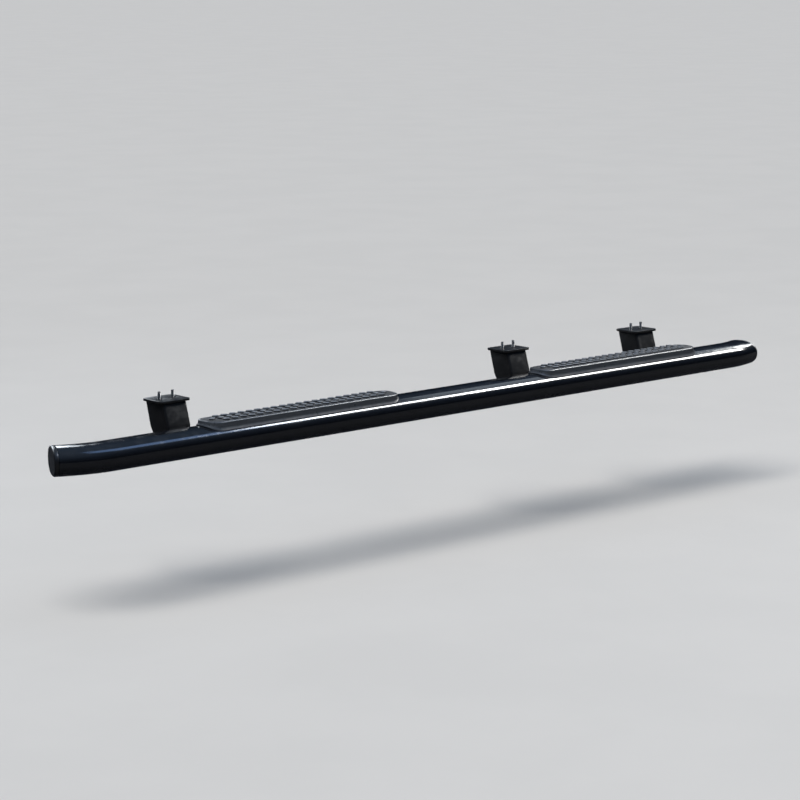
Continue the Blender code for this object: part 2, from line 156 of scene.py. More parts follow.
def merged(meshes):
    """Several closed shells as one mesh."""
    form = bmesh.new()
    for mesh in meshes:
        form.from_mesh(mesh)
    result = bpy.data.meshes.new("merged")
    form.to_mesh(result)
    form.free()
    return result


# %% [markdown]
# A finished piece rides on the body of the CAD part, takes the finish that it is given, and stands
# for the CAD solid that it replaces.  One helper does all of that, so no piece can be left behind.
# Small round edges come from a bevel, applied at once.


# %% Placing a finished piece
def freeze(obj):
    """Apply the modifiers of a piece and drop the helper solids they used."""
    bpy.context.view_layer.update()
    tools = [m.object for m in obj.modifiers if m.type == "BOOLEAN"]
    done = bpy.data.meshes.new_from_object(obj.evaluated_get(bpy.context.evaluated_depsgraph_get()))
    obj.modifiers.clear()
    obj.data = done
    for tool in tools:
        bpy.data.objects.remove(tool)


def piece(name, mesh, finish, stands_for=(), edge=0.0, cut=None, grown=None, sharp=35):
    """Add a piece; cut is taken out of it, grown is joined to it, edge rounds its sharp edges."""
    obj = bpy.data.objects.new(name, mesh)
    bpy.context.scene.collection.objects.link(obj)
    for solid, operation in ((cut, "DIFFERENCE"), (grown, "UNION")):
        if solid is None:
            continue
        tool = bpy.data.objects.new(name + "_tool", solid)
        bpy.context.scene.collection.objects.link(tool)
        step = obj.modifiers.new(operation.lower(), "BOOLEAN")
        step.operation = operation
        step.solver = "EXACT"
        step.object = tool
    if edge:
        step = obj.modifiers.new("edges", "BEVEL")
        step.width = edge
        step.segments = 3
        step.limit_method = "ANGLE"
        step.angle_limit = math.radians(sharp)
        step.miter_outer = "MITER_ARC"
    freeze(obj)
    obj.data.shade_smooth()
    obj.data.set_sharp_from_angle(angle=math.radians(sharp))
    obj.data.materials.clear()
    obj.data.materials.append(finish)
    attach(obj, "root")
    if stands_for:
        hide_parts(*stands_for)
    return obj


# %% [markdown]
# Every finish is built from the same few parts: a noise over the object, a ramp that picks out a
# band of it, and a mix between two tones.  Noise in object space has a real scale in metres, so
# grain, orange peel and dust come out the right size on a long tube and on a small bolt alike.


# %% Node helpers for the finishes
def new_finish(name, roughness, metallic=0.0, specular=0.5):
    """Empty Principled material: returns the material, its node tree and its shader."""
    material = bpy.data.materials.new(name)
    material.use_nodes = True
    shader = material.node_tree.nodes["Principled BSDF"]
    shader.inputs["Roughness"].default_value = roughness
    shader.inputs["Metallic"].default_value = metallic
    shader.inputs["Specular IOR Level"].default_value = specular
    return material, material.node_tree, shader


def noise(tree, scale, detail, stretch=(1, 1, 1)):
    """Noise over the object, scale in features per metre; stretch above 1 squeezes an axis."""
    place = tree.nodes.new("ShaderNodeTexCoord")
    turn = tree.nodes.new("ShaderNodeMapping")
    turn.inputs["Scale"].default_value = stretch
    tree.links.new(place.outputs["Object"], turn.inputs["Vector"])
    node = tree.nodes.new("ShaderNodeTexNoise")
    node.inputs["Scale"].default_value = scale
    node.inputs["Detail"].default_value = detail
    node.inputs["Roughness"].default_value = 0.55
    tree.links.new(turn.outputs["Vector"], node.inputs["Vector"])
    return node.outputs["Fac"]


def pebbles(tree, scale):
    """Moulded grain: rounded cells, scale in cells per metre."""
    place = tree.nodes.new("ShaderNodeTexCoord")
    node = tree.nodes.new("ShaderNodeTexVoronoi")
    node.feature = "SMOOTH_F1"
    node.inputs["Scale"].default_value = scale
    tree.links.new(place.outputs["Object"], node.inputs["Vector"])
    return node.outputs["Distance"]


def facing(tree, part="Normal", axis="Z"):
    """One part of the surface direction, or of the position, as a value."""
    where = tree.nodes.new("ShaderNodeNewGeometry")
    split = tree.nodes.new("ShaderNodeSeparateXYZ")
    tree.links.new(where.outputs[part], split.inputs["Vector"])
    return split.outputs[axis]


def band(tree, value, low, high, to_low=0.0, to_high=1.0):
    """Stretch low..high of a value to to_low..to_high, smoothly and clamped."""
    node = tree.nodes.new("ShaderNodeMapRange")
    node.interpolation_type = "SMOOTHSTEP"
    tree.links.new(value, node.inputs["Value"])
    ends = {"From Min": low, "From Max": high, "To Min": to_low, "To Max": to_high}
    for socket, number in ends.items():
        node.inputs[socket].default_value = number
    return node.outputs["Result"]


def maths(tree, operation, a, b):
    """Sum, product or the like of two values; b may be a plain number."""
    node = tree.nodes.new("ShaderNodeMath")
    node.operation = operation
    tree.links.new(a, node.inputs[0])
    if isinstance(b, (int, float)):
        node.inputs[1].default_value = b
    else:
        tree.links.new(b, node.inputs[1])
    return node.outputs["Value"]


def tone(tree, share, low, high):
    """Mix of two colours; either may be a colour or the output of an earlier mix."""
    node = tree.nodes.new("ShaderNodeMix")
    node.data_type = "RGBA"
    tree.links.new(share, node.inputs["Factor"])
    for socket, colour in ((node.inputs[6], low), (node.inputs[7], high)):
        if isinstance(colour, tuple):
            socket.default_value = (*colour, 1)
        else:
            tree.links.new(colour, socket)
    return node.outputs[2]


def bumped(tree, shader, heights):
    """Stack (height value, distance in metres, strength) bumps onto the shader's normal."""
    last = None
    for height, distance, strength in heights:
        node = tree.nodes.new("ShaderNodeBump")
        node.inputs["Distance"].default_value = distance
        node.inputs["Strength"].default_value = strength
        tree.links.new(height, node.inputs["Height"])
        if last is not None:
            tree.links.new(last, node.inputs["Normal"])
        last = node.outputs["Normal"]
    tree.links.new(last, shader.inputs["Normal"])


# %% [markdown]
# The tube is powder coated gloss black.  Powder melts into a skin with a faint orange peel, which
# breaks up long reflections a little.  Dust settles on what faces up and a dull road film gathers
# underneath, so both roughness and colour change with the direction that the surface faces.


# %% Gloss powder coat
DUST, ROAD_FILM = (0.085, 0.084, 0.082), (0.050, 0.047, 0.043)


def gloss_coat():
    """Black powder coat with orange peel, dust on top and road film below."""
    material, tree, shader = new_finish("gloss_powder_coat", 0.14)
    link = tree.links.new
    up = facing(tree)
    dust = maths(tree, "MULTIPLY", band(tree, up, 0.35, 1.0), band(tree, noise(tree, 38, 7), 0.42, 0.78))
    film = maths(tree, "MULTIPLY", band(tree, up, -0.15, -0.95), band(tree, noise(tree, 22, 8), 0.35, 0.75))
    black = tone(tree, noise(tree, 2.2, 2), (0.0034, 0.0042, 0.0064), (0.0050, 0.0057, 0.0078))
    dusty = tone(tree, maths(tree, "MULTIPLY", dust, 0.10), black, DUST)
    filmed = tone(tree, maths(tree, "MULTIPLY", film, 0.10), dusty, ROAD_FILM)
    link(filmed, shader.inputs["Base Color"])
    rubbed = band(tree, noise(tree, 9, 5, (0.35, 5, 5)), 0.45, 0.75, 0.0, 0.07)
    smooth = maths(tree, "ADD", rubbed, 0.105)
    dull = maths(tree, "ADD", maths(tree, "MULTIPLY", dust, 0.16), maths(tree, "MULTIPLY", film, 0.26))
    link(maths(tree, "ADD", smooth, dull), shader.inputs["Roughness"])
    bumped(tree, shader, [(noise(tree, 240, 1.5), 0.0006, 0.030), (noise(tree, 1300, 2), 0.0002, 0.020)])
    return material


# %% [markdown]
# Brackets, their top plates and the welds share a satin black coat with a finer, rougher texture.
# Near the ground it picks up grit, and the odd stone chip shows a speck of brown steel.


# %% Satin coat of the brackets
GRIT, CHIPPED_STEEL = (0.045, 0.042, 0.039), (0.060, 0.028, 0.014)


def satin_coat():
    """Black satin coat with a sandy texture, grit and a few stone chips."""
    material, tree, shader = new_finish("satin_powder_coat", 0.42, specular=0.35)
    link = tree.links.new
    grit = band(tree, noise(tree, 60, 8), 0.45, 0.80)
    black = tone(tree, noise(tree, 6, 3), (0.0058, 0.0060, 0.0068), (0.0088, 0.0090, 0.0100))
    dirty = tone(tree, maths(tree, "MULTIPLY", grit, 0.14), black, GRIT)
    chips = band(tree, noise(tree, 210, 2), 0.735, 0.765)
    chipped = tone(tree, maths(tree, "MULTIPLY", chips, 0.5), dirty, CHIPPED_STEEL)
    link(chipped, shader.inputs["Base Color"])
    link(maths(tree, "ADD", maths(tree, "MULTIPLY", grit, 0.22), 0.36), shader.inputs["Roughness"])
    bumped(tree, shader, [(noise(tree, 950, 2.5), 0.0003, 0.16), (noise(tree, 45, 3), 0.0008, 0.05)])
    return material


# %% [markdown]
# Pad bases and end caps are moulded in dark plastic with a pebbled grain.  The grain is cells
# about a millimetre across; scuffs are long and run with the board, the way a boot slides off.


# %% Moulded plastic
SCUFF, PAD_DUST = (0.085, 0.092, 0.100), (0.130, 0.130, 0.128)


def moulded_plastic(name, low, high, grain_size, wear):
    """Dark moulding with pebbled grain, long scuffs and dust on top."""
    material, tree, shader = new_finish(name, 0.5)
    link = tree.links.new
    up = facing(tree)
    dust = maths(tree, "MULTIPLY", band(tree, up, 0.5, 1.0), band(tree, noise(tree, 70, 8), 0.40, 0.75))
    scuffs = band(tree, noise(tree, 90, 6, (0.12, 1, 1)), 0.60, 0.78)
    body = tone(tree, noise(tree, 14, 4), low, high)
    worn = tone(tree, maths(tree, "MULTIPLY", scuffs, wear), body, SCUFF)
    dusty = tone(tree, maths(tree, "MULTIPLY", dust, wear), worn, PAD_DUST)
    link(dusty, shader.inputs["Base Color"])
    link(band(tree, noise(tree, 120, 5), 0.3, 0.7, 0.27, 0.40), shader.inputs["Roughness"])
    bumped(tree, shader, [(pebbles(tree, grain_size), 0.0004, 0.30), (noise(tree, 2400, 2), 0.0001, 0.15)])
    return material


# %% [markdown]
# The tread is a softer rubber.  Feet wear the tops of its blocks grey, and the tops also carry a painted
# highlight: a lighter, cool grey that stands in for the glint of light on the raised blocks.  The low
# sheet between them stays darker and holds grit, so the tone follows the height inside the insert.


# %% Tread rubber
# The light, cool grey of the block tops is partly wear and partly a painted highlight, the glint of light
# on them.
WORN_TOPS_AND_HIGHLIGHT, TREAD_GRIT = (0.205, 0.230, 0.265), (0.170, 0.162, 0.150)


def tread_rubber(low_z, top_z):
    """Dark rubber, greyed on the raised blocks by wear and by a painted highlight, and gritty in between.
    """
    material, tree, shader = new_finish("tread_rubber", 0.6, specular=0.45)
    link = tree.links.new
    height = band(tree, facing(tree, "Position"), low_z + 0.0030, top_z - 0.0006)
    # rub picks out the block tops: partly wear, partly a painted highlight that lightens them.
    rub = maths(tree, "MULTIPLY", height, band(tree, noise(tree, 55, 6), 0.35, 0.70, 0.45, 1.0))
    rubber = tone(tree, noise(tree, 20, 4), (0.012, 0.013, 0.015), (0.020, 0.021, 0.024))
    worn_and_highlit = tone(tree, maths(tree, "MULTIPLY", rub, 0.85), rubber, WORN_TOPS_AND_HIGHLIGHT)
    low_down = band(tree, height, 0.6, 0.1)
    grit = maths(tree, "MULTIPLY", band(tree, noise(tree, 320, 5), 0.56, 0.74), low_down)
    gritty = tone(tree, maths(tree, "MULTIPLY", grit, 0.55), worn_and_highlit, TREAD_GRIT)
    link(gritty, shader.inputs["Base Color"])
    matt = band(tree, noise(tree, 150, 5), 0.3, 0.7, 0.58, 0.74)
    link(maths(tree, "SUBTRACT", matt, maths(tree, "MULTIPLY", rub, 0.14)), shader.inputs["Roughness"])
    bumped(tree, shader, [(noise(tree, 900, 4), 0.0004, 0.30), (noise(tree, 130, 3), 0.0006, 0.10)])
    return material


# %% [markdown]
# The bolts are zinc plated and dark passivated: a thin grey film with a cloudy, slightly oily
# look.  A little of the brighter plating shows where a spanner or a washer has rubbed.


# %% Dark zinc
def dark_zinc():
    """Passivated zinc: cloudy dark grey metal with brighter rubbed places."""
    material, tree, shader = new_finish("dark_zinc", 0.36, metallic=0.9)
    link = tree.links.new
    cloudy = band(tree, noise(tree, 160, 5), 0.3, 0.7)
    film = tone(tree, cloudy, (0.120, 0.120, 0.126), (0.215, 0.212, 0.205))
    rub = band(tree, noise(tree, 420, 6), 0.60, 0.78)
    rubbed = tone(tree, maths(tree, "MULTIPLY", rub, 0.6), film, (0.42, 0.42, 0.41))
    link(rubbed, shader.inputs["Base Color"])
    link(band(tree, noise(tree, 240, 4), 0.3, 0.7, 0.28, 0.46), shader.inputs["Roughness"])
    bumped(tree, shader, [(noise(tree, 1800, 3), 0.0001, 0.20)])
    return material


tread_low, tread_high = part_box("tread_rear")
CAP_TONES = (0.0040, 0.0042, 0.0056), (0.0062, 0.0064, 0.0080)
# The pad's dark grey is the plastic's own tone. Its blue cast is a painted reflection of a blue sky.
PAD_TONES_AND_SKY_TINT = (0.0310, 0.0365, 0.0450), (0.0490, 0.0555, 0.0660)
GLOSS = gloss_coat()
SATIN = satin_coat()
CAP_PLASTIC = moulded_plastic("cap_plastic", *CAP_TONES, grain_size=900, wear=0.08)
PAD_PLASTIC = moulded_plastic("pad_plastic", *PAD_TONES_AND_SKY_TINT, grain_size=1000, wear=0.40)
RUBBER = tread_rubber(tread_low.z, tread_high.z)
ZINC = dark_zinc()
print("finishes", [m.name for m in (GLOSS, SATIN, CAP_PLASTIC, PAD_PLASTIC, RUBBER, ZINC)])


# %% [markdown]
# The tube is roll-formed oval steel, bent inboard at both ends around a wide former.  A curve with
# a bevel would give the same path, but lofting rings by hand keeps the section upright in the
# bends and lets the wall be real: the outer rings run forward, the inner rings run back.


# %% Path of the tube
def stations(steps=30):
    """(x, y, heading) of every ring from the rear cut to the front cut."""
    line = []
    straight = STRAIGHT_FRONT - STRAIGHT_REAR
    for bend, start, sign in ((REAR_BEND, STRAIGHT_REAR, -1), (FRONT_BEND, STRAIGHT_FRONT, 1)):
        arc = []
        for step in range(steps + 1):
            turn = bend * step / steps
            x = start + sign * BEND_RADIUS * math.sin(turn)
            arc.append((x, AXIS_Y + BEND_RADIUS * (1 - math.cos(turn)), sign * turn))
        x, y, _ = arc[-1]
        arc.append((x + sign * TAIL * math.cos(bend), y + TAIL * math.sin(bend), sign * bend))
        if sign < 0:
            line += list(reversed(arc))
            line += [(STRAIGHT_REAR + straight * k / 12, AXIS_Y, 0) for k in range(1, 12)]
        else:
            line += arc
    return line


def ring_at(station, pairs):
    """Section points placed across the path at one station."""
    x, y, heading = station
    side = Vector((-math.sin(heading), math.cos(heading)))
    return [(x + side.x * across, y + side.y * across, AXIS_Z + up) for across, up in pairs]


PATH = stations()
print(len(PATH), "stations, ends", [round(v, 3) for v in PATH[0]], [round(v, 3) for v in PATH[-1]])


# %% [markdown]
# Three drain holes are drilled in the underside, and the push-in pins and bolts pass through
# holes of their own.  A boolean takes all of them out of the lofted wall in one go.


# %% Main tube with its drilled holes
def round_bar(radius, start, end):
    """Closed round bar between two points."""
    start, end = Vector(start), Vector(end)
    turn = (end - start).to_track_quat("Z", "Y")
    rings = []
    for centre in (start, end):
        ring = []
        for step in range(24):
            angle = 2 * math.pi * step / 24
            ring.append(centre + turn @ Vector((radius * math.cos(angle), radius * math.sin(angle), 0)))
        rings.append(ring)
    return loft(rings)


def middle_of(node):
    """Centre of a CAD node's box."""
    low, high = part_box(node)
    return (low + high) / 2


ENDS = ("rear", "front")
BRACKETS = ("rear", "middle", "front")
SIDES = (1, 2)
DRAIN_X = (-0.90, 0.06, 0.95)
DRAIN_HOLE, PIN_HOLE, BOLT_HOLE = 0.004, 0.0043, 0.0045
DRILL_INSIDE, DRILL_ABOVE, DRILL_BELOW, DRILL_SIDE = 0.02, 0.04, 0.045, (0.04, 0.06)

holes = []
for drain_x in DRAIN_X:
    x = middle_of("top_plate_middle").x + drain_x + BOARD_MIDDLE
    low, high = AXIS_Z - DRILL_BELOW, AXIS_Z - DRILL_INSIDE
    holes.append(round_bar(DRAIN_HOLE, (x, AXIS_Y, low), (x, AXIS_Y, high)))
for end in ENDS:
    for number in (1, 2, 3):
        pin = middle_of(f"pad_pin_{end}_{number}")
        low, high = AXIS_Z + DRILL_INSIDE, AXIS_Z + DRILL_ABOVE
        holes.append(round_bar(PIN_HOLE, (pin.x, pin.y, low), (pin.x, pin.y, high)))
for name in BRACKETS:
    for side in SIDES:
        bolt = middle_of(f"bar_bolt_{name}_{side}")
        near, far = [(bolt.x, AXIS_Y + reach, bolt.z) for reach in DRILL_SIDE]
        holes.append(round_bar(BOLT_HOLE, near, far))

outside, inside = oval(), oval(-TUBE_WALL)
wall = [ring_at(s, outside) for s in PATH] + [ring_at(s, inside) for s in reversed(PATH)]
tube = piece("bar_tube", loft(wall, True), GLOSS, ("main_tube",), cut=merged(holes), sharp=40)
print("tube faces", len(tube.data.polygons))

# %% [markdown]
# Each open end is closed with a moulded plug: a skirt that grips inside the tube and a thick face
# with a soft rounded edge.  The face has a shallow sunk panel, as a moulder would put there to
# keep it from sinking in odd places.  One loft of ovals, from inside to outside, makes it all.


# %% End caps
CAP_THICKNESS, CAP_EDGE, CAP_SKIRT, CAP_WALL, CAP_BACK = 0.010, 0.0038, 0.014, 0.0025, 0.003
SKIRT_LEAD, SKIRT_TAPER, RIM_BREAK = 0.0012, 0.0006, 0.0008
# The sunk panel, as (depth below the face, distance in from the tube's outline).
PANEL = (
    (0.0, 0.0085), (0.0003, 0.0091), (0.0009, 0.0098), (0.0010, 0.0106), (0.0008, 0.016), (0.0006, 0.024),
)


def end_cap(end, station, sign):
    """Plug for one end of the tube; sign is the way it faces along the path."""
    heading = station[2]
    out = Vector((math.cos(heading), math.sin(heading))) * sign
    fit = -TUBE_WALL - GAP
    profile = [(GAP + CAP_BACK, fit - CAP_WALL), (-CAP_SKIRT, fit - CAP_WALL)]
    profile += [(-CAP_SKIRT, fit - SKIRT_TAPER), (-CAP_SKIRT + SKIRT_LEAD, fit), (GAP, fit)]
    profile += [(GAP, -RIM_BREAK), (GAP + RIM_BREAK, 0.0)]
    face = GAP + CAP_THICKNESS
    for step in range(9):
        turn = math.pi / 2 * step / 8
        profile.append((face - CAP_EDGE * (1 - math.sin(turn)), -CAP_EDGE * (1 - math.cos(turn))))
    profile += [(face - depth, -inset) for depth, inset in PANEL]
    rings = []
    for along, grow in profile:
        place = (station[0] + out.x * along, station[1] + out.y * along, heading)
        rings.append(ring_at(place, oval(grow)))
    node = "end_cap_" + end
    return piece("plug_" + end, loft(rings), CAP_PLASTIC, (node,), sharp=50)


end_cap("rear", PATH[0], -1)
end_cap("front", PATH[-1], 1)
print("end caps in place")

# %% [markdown]
# A step pad is two parts.  The hard base sits saddle-wise on the tube: its lower edge follows the
# crown of the oval, its sides lean in, and its rim is rounded over into a recess.  Lofting plan
# outlines upwards gives that, because the height of every point can follow the tube below it.


# %% Pad bases
pad_low, pad_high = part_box("pad_base_rear")
PAD_LENGTH = pad_high.x - pad_low.x
PAD_HALF, PAD_CORNER = 0.0410, 0.034
PAD_TOP_HALF, PAD_WALL, PAD_FILLET = 0.0368, 0.0042, 0.0036
# The seat on the tube, as (inset, rise above the crown, cut from the corner radius).
SADDLE = (
    (PAD_WALL, 0.0006, 0.004), (PAD_WALL - 0.0006, 0.0, 0.004),
    (0.0006, 0.0, 0.0006), (0.0, 0.0007, 0.0),
)
LIP_RISE, LIP_CLEAR = 0.0018, 0.0014
# The flange round the foot, as (inset, rise).
FLANGE = (
    (0.0, 0.0), (0.0003, 0.0008), (0.0009, 0.0014), (0.0022, 0.0026), (0.0031, 0.0036), (0.0035, 0.0046),
)
SIDE_FOOT, SIDE_CLEAR, SIDE_SHORT = 0.0060, 0.0062, 0.0102
PAD_EDGE_TOP, PAD_CROWN, RIM_FLAT = 0.0436, 0.0447, 0.015
RECESS_LENGTH, RECESS_HALF, RECESS_CORNER, RECESS_FLOOR = 0.557, 0.0318, 0.026, 0.0422
RECESS_BREAK = 0.0006
# The edge of the recess, as (inset, drop).
RECESS_EDGE = ((0.0, 0.0), (0.0003, 0.0004), (0.0004, 0.0011))
POCKET_TOP, POCKET_TAPER, POCKET_CORNER = 0.0392, 0.002, 0.006


def rim_height(y):
    """Top of the pad's rim: flat in the middle, falling a little to both sides."""
    share = max(0.0, (abs(y) - RIM_FLAT) / (PAD_TOP_HALF - RIM_FLAT))
    return PAD_CROWN - (PAD_CROWN - PAD_EDGE_TOP) * min(share, 1.0)


def pad_ring(centre, length, half, corner, height):
    """Rounded outline about the pad's centre, with a height that may depend on y."""
    ring = []
    for u, v in rounded_box(length, 2 * half, corner, 14):
        z = height(v) if callable(height) else height
        ring.append((centre.x + u, AXIS_Y + v, AXIS_Z + z))
    return ring


def pad_base(end):
    """Hard moulded base of one pad, hollow below and recessed on top."""
    centre = middle_of("pad_base_" + end)
    shell = []

    def level(inset, height, corner):
        shell.append(pad_ring(centre, PAD_LENGTH - 2 * inset, PAD_HALF - inset, corner, height))

    level(PAD_WALL + POCKET_TAPER, POCKET_TOP, PAD_CORNER - POCKET_CORNER)
    for inset, rise, tighter in SADDLE:
        level(inset, lambda y, rise=rise: crown(y) + rise, PAD_CORNER - tighter)
    lip = crown(PAD_HALF) + LIP_RISE
    for inset, rise in FLANGE:
        level(inset, lambda y, rise=rise: max(lip, crown(y) + LIP_CLEAR) + rise, PAD_CORNER - inset)
    foot, top = FLANGE[-1][0], PAD_HALF - PAD_TOP_HALF
    for share in (0.1, 0.4, 0.7, 1.0):
        inset = foot + (top - foot) * share
        low = lip + SIDE_FOOT + (PAD_EDGE_TOP - SIDE_SHORT - lip) * share
        level(inset, lambda y, low=low: max(low, crown(y) + SIDE_CLEAR), PAD_CORNER - inset)
    for step in range(1, 8):
        turn = math.pi / 2 * step / 7
        inset, drop = PAD_FILLET * (1 - math.cos(turn)), PAD_FILLET * (1 - math.sin(turn))
        level(top + inset, lambda y, drop=drop: rim_height(y) - drop, PAD_CORNER - top - inset)
    for inset, drop in RECESS_EDGE:
        half = RECESS_HALF + RECESS_BREAK - inset
        length = RECESS_LENGTH + 2 * RECESS_BREAK - 2 * inset
        edge = pad_ring(centre, length, half, RECESS_CORNER, rim_height)
        shell.append([(x, y, z - drop) for x, y, z in edge])
    shell.append(pad_ring(centre, RECESS_LENGTH, RECESS_HALF, RECESS_CORNER, RECESS_FLOOR))
    node = "pad_base_" + end
    return piece("pad_shell_" + end, loft(shell), PAD_PLASTIC, (node,), sharp=48)


for end in ENDS:
    pad_base(end)
print("pad bases", round(PAD_LENGTH, 4), "long on a tube", 2 * HALF_WIDTH, "wide")

# %% [markdown]
# The tread is a soft insert dropped into that recess: a thin sheet carrying three rows of slanted
# blocks, turned the other way in each row so that water runs out sideways.  Every block is lofted
# with rounded corners and a rounded top edge, and a boolean union grows them out of the sheet.


# %% Tread inserts
TREAD_SHEET, TREAD_TOP = 0.0015, 0.0480
# The edge of the sheet, as (inset, drop).
SHEET_EDGE = ((0.0, 0.0005), (0.0002, 0.0001), (0.0006, 0.0))
BLOCK_LENGTH, BLOCK_WIDTH, BLOCK_LEAN = 0.0160, 0.0110, math.radians(25)
BLOCK_CORNER, BLOCK_EDGE, BLOCK_DRAFT, BLOCK_SUNK = 0.0030, 0.0012, 0.0004, 0.0006
BLOCK_PITCH, BLOCK_COLUMNS, ROW_PITCH, OUTER_ROW_STOP = 0.0245, 22, 0.020, 0.022


def tread_block(x, y, lean):
    """One raised block of the tread, rounded along its top edge."""
    levels = [(0.0, RECESS_FLOOR + GAP + BLOCK_SUNK), (BLOCK_DRAFT, TREAD_TOP - BLOCK_EDGE)]
    for step in range(1, 5):
        turn = math.pi / 2 * step / 4
        inset = BLOCK_DRAFT + BLOCK_EDGE * (1 - math.cos(turn))
        levels.append((inset, TREAD_TOP - BLOCK_EDGE * (1 - math.sin(turn))))
    rings = []
    for inset, height in levels:
        length, width = BLOCK_LENGTH - 2 * inset, BLOCK_WIDTH - 2 * inset
        ring = []
        for u, v in rounded_box(length, width, BLOCK_CORNER - inset, 5):
            spun = Matrix.Rotation(lean, 2) @ Vector((u, v))
            ring.append((x + spun.x, AXIS_Y + y + spun.y, AXIS_Z + height))
        rings.append(ring)
    return loft(rings)


def tread_insert(end):
    """Rubber insert of one pad."""
    centre = middle_of("tread_" + end)
    low = RECESS_FLOOR + GAP
    length, half, corner = RECESS_LENGTH - 2 * GAP, RECESS_HALF - GAP, RECESS_CORNER - GAP
    sheet = [pad_ring(centre, length, half, corner, low)]
    for inset, drop in SHEET_EDGE:
        height = low + TREAD_SHEET - drop
        sheet.append(pad_ring(centre, length - 2 * inset, half - inset, corner - inset, height))
    blocks = []
    for row in (-1, 0, 1):
        lean = BLOCK_LEAN if row == 0 else -BLOCK_LEAN
        for column in range(BLOCK_COLUMNS):
            x = (column - (BLOCK_COLUMNS - 1) / 2) * BLOCK_PITCH
            if abs(x) > RECESS_LENGTH / 2 - OUTER_ROW_STOP and row:
                continue
            blocks.append(tread_block(centre.x + x, row * ROW_PITCH, lean))
    made, node = loft(sheet), "tread_" + end
    return piece("tread_insert_" + end, made, RUBBER, (node,), grown=merged(blocks), sharp=40)


for end in ENDS:
    print("tread insert", end, len(tread_insert(end).data.polygons), "faces")

# %% [markdown]
# A pressed shoe is welded to the inboard side of the tube wherever a bracket bolts on.  It is a
# shallow channel, cut to the oval behind it, that gives the bracket a flat face to pull against.
# The ends of the section follow the flank of the tube, so the loft needs no trimming.


# %% Shoes on the tube
SHOE_FACE, SHOE_HALF, SHOE_PLATE = 0.056, 0.0165, 0.003
SHOE_FOLD, SHOE_INNER_FOLD, SHOE_DRILL = 0.0045, 0.0018, (0.05, 0.06)
BROKEN_EDGE = 0.0006


def shoe(name):
    """Pressed seat welded to the tube at one bracket."""
    low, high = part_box("shoe_" + name)
    under = SHOE_HALF - SHOE_PLATE
    back = SHOE_FACE - SHOE_PLATE
    section = rounded([
        (flank(SHOE_HALF), -SHOE_HALF, 0), (SHOE_FACE, -SHOE_HALF, SHOE_FOLD),
        (SHOE_FACE, SHOE_HALF, SHOE_FOLD), (flank(SHOE_HALF), SHOE_HALF, 0),
        (flank(under), under, 0), (back, under, SHOE_INNER_FOLD),
        (back, -under, SHOE_INNER_FOLD), (flank(under), -under, 0),
    ])
    rings = [[(x, AXIS_Y + y, AXIS_Z + z) for y, z in section] for x in (low.x, high.x)]
    drilled = []
    for side in SIDES:
        bolt = middle_of(f"bar_bolt_{name}_{side}")
        near, far = [(bolt.x, AXIS_Y + reach, bolt.z) for reach in SHOE_DRILL]
        drilled.append(round_bar(BOLT_HOLE, near, far))
    made, node, cut = loft(rings), "shoe_" + name, merged(drilled)
    return piece("seat_" + name, made, GLOSS, (node,), edge=BROKEN_EDGE, cut=cut)


for name in BRACKETS:
    shoe(name)

# %% [markdown]
# A bracket is one blank of 4 mm plate folded into a channel: a web against the shoe, and a cheek
# down each side that widens towards the top.  Above the knee the web leans inboard.  Slicing it
# level by level gives a U at every height, and lofting the slices keeps both folds continuous.


# %% Pressed brackets
PLATE, FOLD, WEB = 0.004, 0.007, SHOE_FACE + GAP
BRACKET_LOW, KNEE, BRACKET_TOP, LEAN, DEPTH, FOOT = -0.030, 0.026, 0.080, 0.0165, 0.063, 0.090
KNEE_BLEND = 0.005
# The side view of a cheek from its foot upwards, as (reach, height, corner radius).
CHEEK = (
    (WEB, BRACKET_LOW, 0), (FOOT, BRACKET_LOW, 0.010), (FOOT + 0.006, -0.014, 0.012),
    (WEB + DEPTH, KNEE - 0.004, 0.020), (WEB + LEAN + DEPTH, BRACKET_TOP, 0),
)
WEB_SLOT, SLOT_REACH, HAIR = (0.0136, 0.009), 0.006, 0.00001


def web_line(z):
    """Outboard face of the web at a height: upright, then leaning in above a soft knee."""
    slope = LEAN / (BRACKET_TOP - KNEE)
    rise = z - KNEE
    if rise < -KNEE_BLEND:
        return WEB
    if rise > KNEE_BLEND:
        return WEB + slope * rise
    return WEB + slope * (rise + KNEE_BLEND) ** 2 / (4 * KNEE_BLEND)


def slot_bar(centre, length, width, axis):
    """Closed prism with round ends, for cutting a slot through a plate."""
    rings = []
    for offset in (-SLOT_REACH, SLOT_REACH):
        ring = []
        for u, v in rounded_box(length, width, width / 2 - HAIR, 10):
            spot = (u, offset, v) if axis == "Y" else (u, v, offset)
            ring.append(tuple(Vector(centre) + Vector(spot)))
        rings.append(ring)
    return loft(rings)


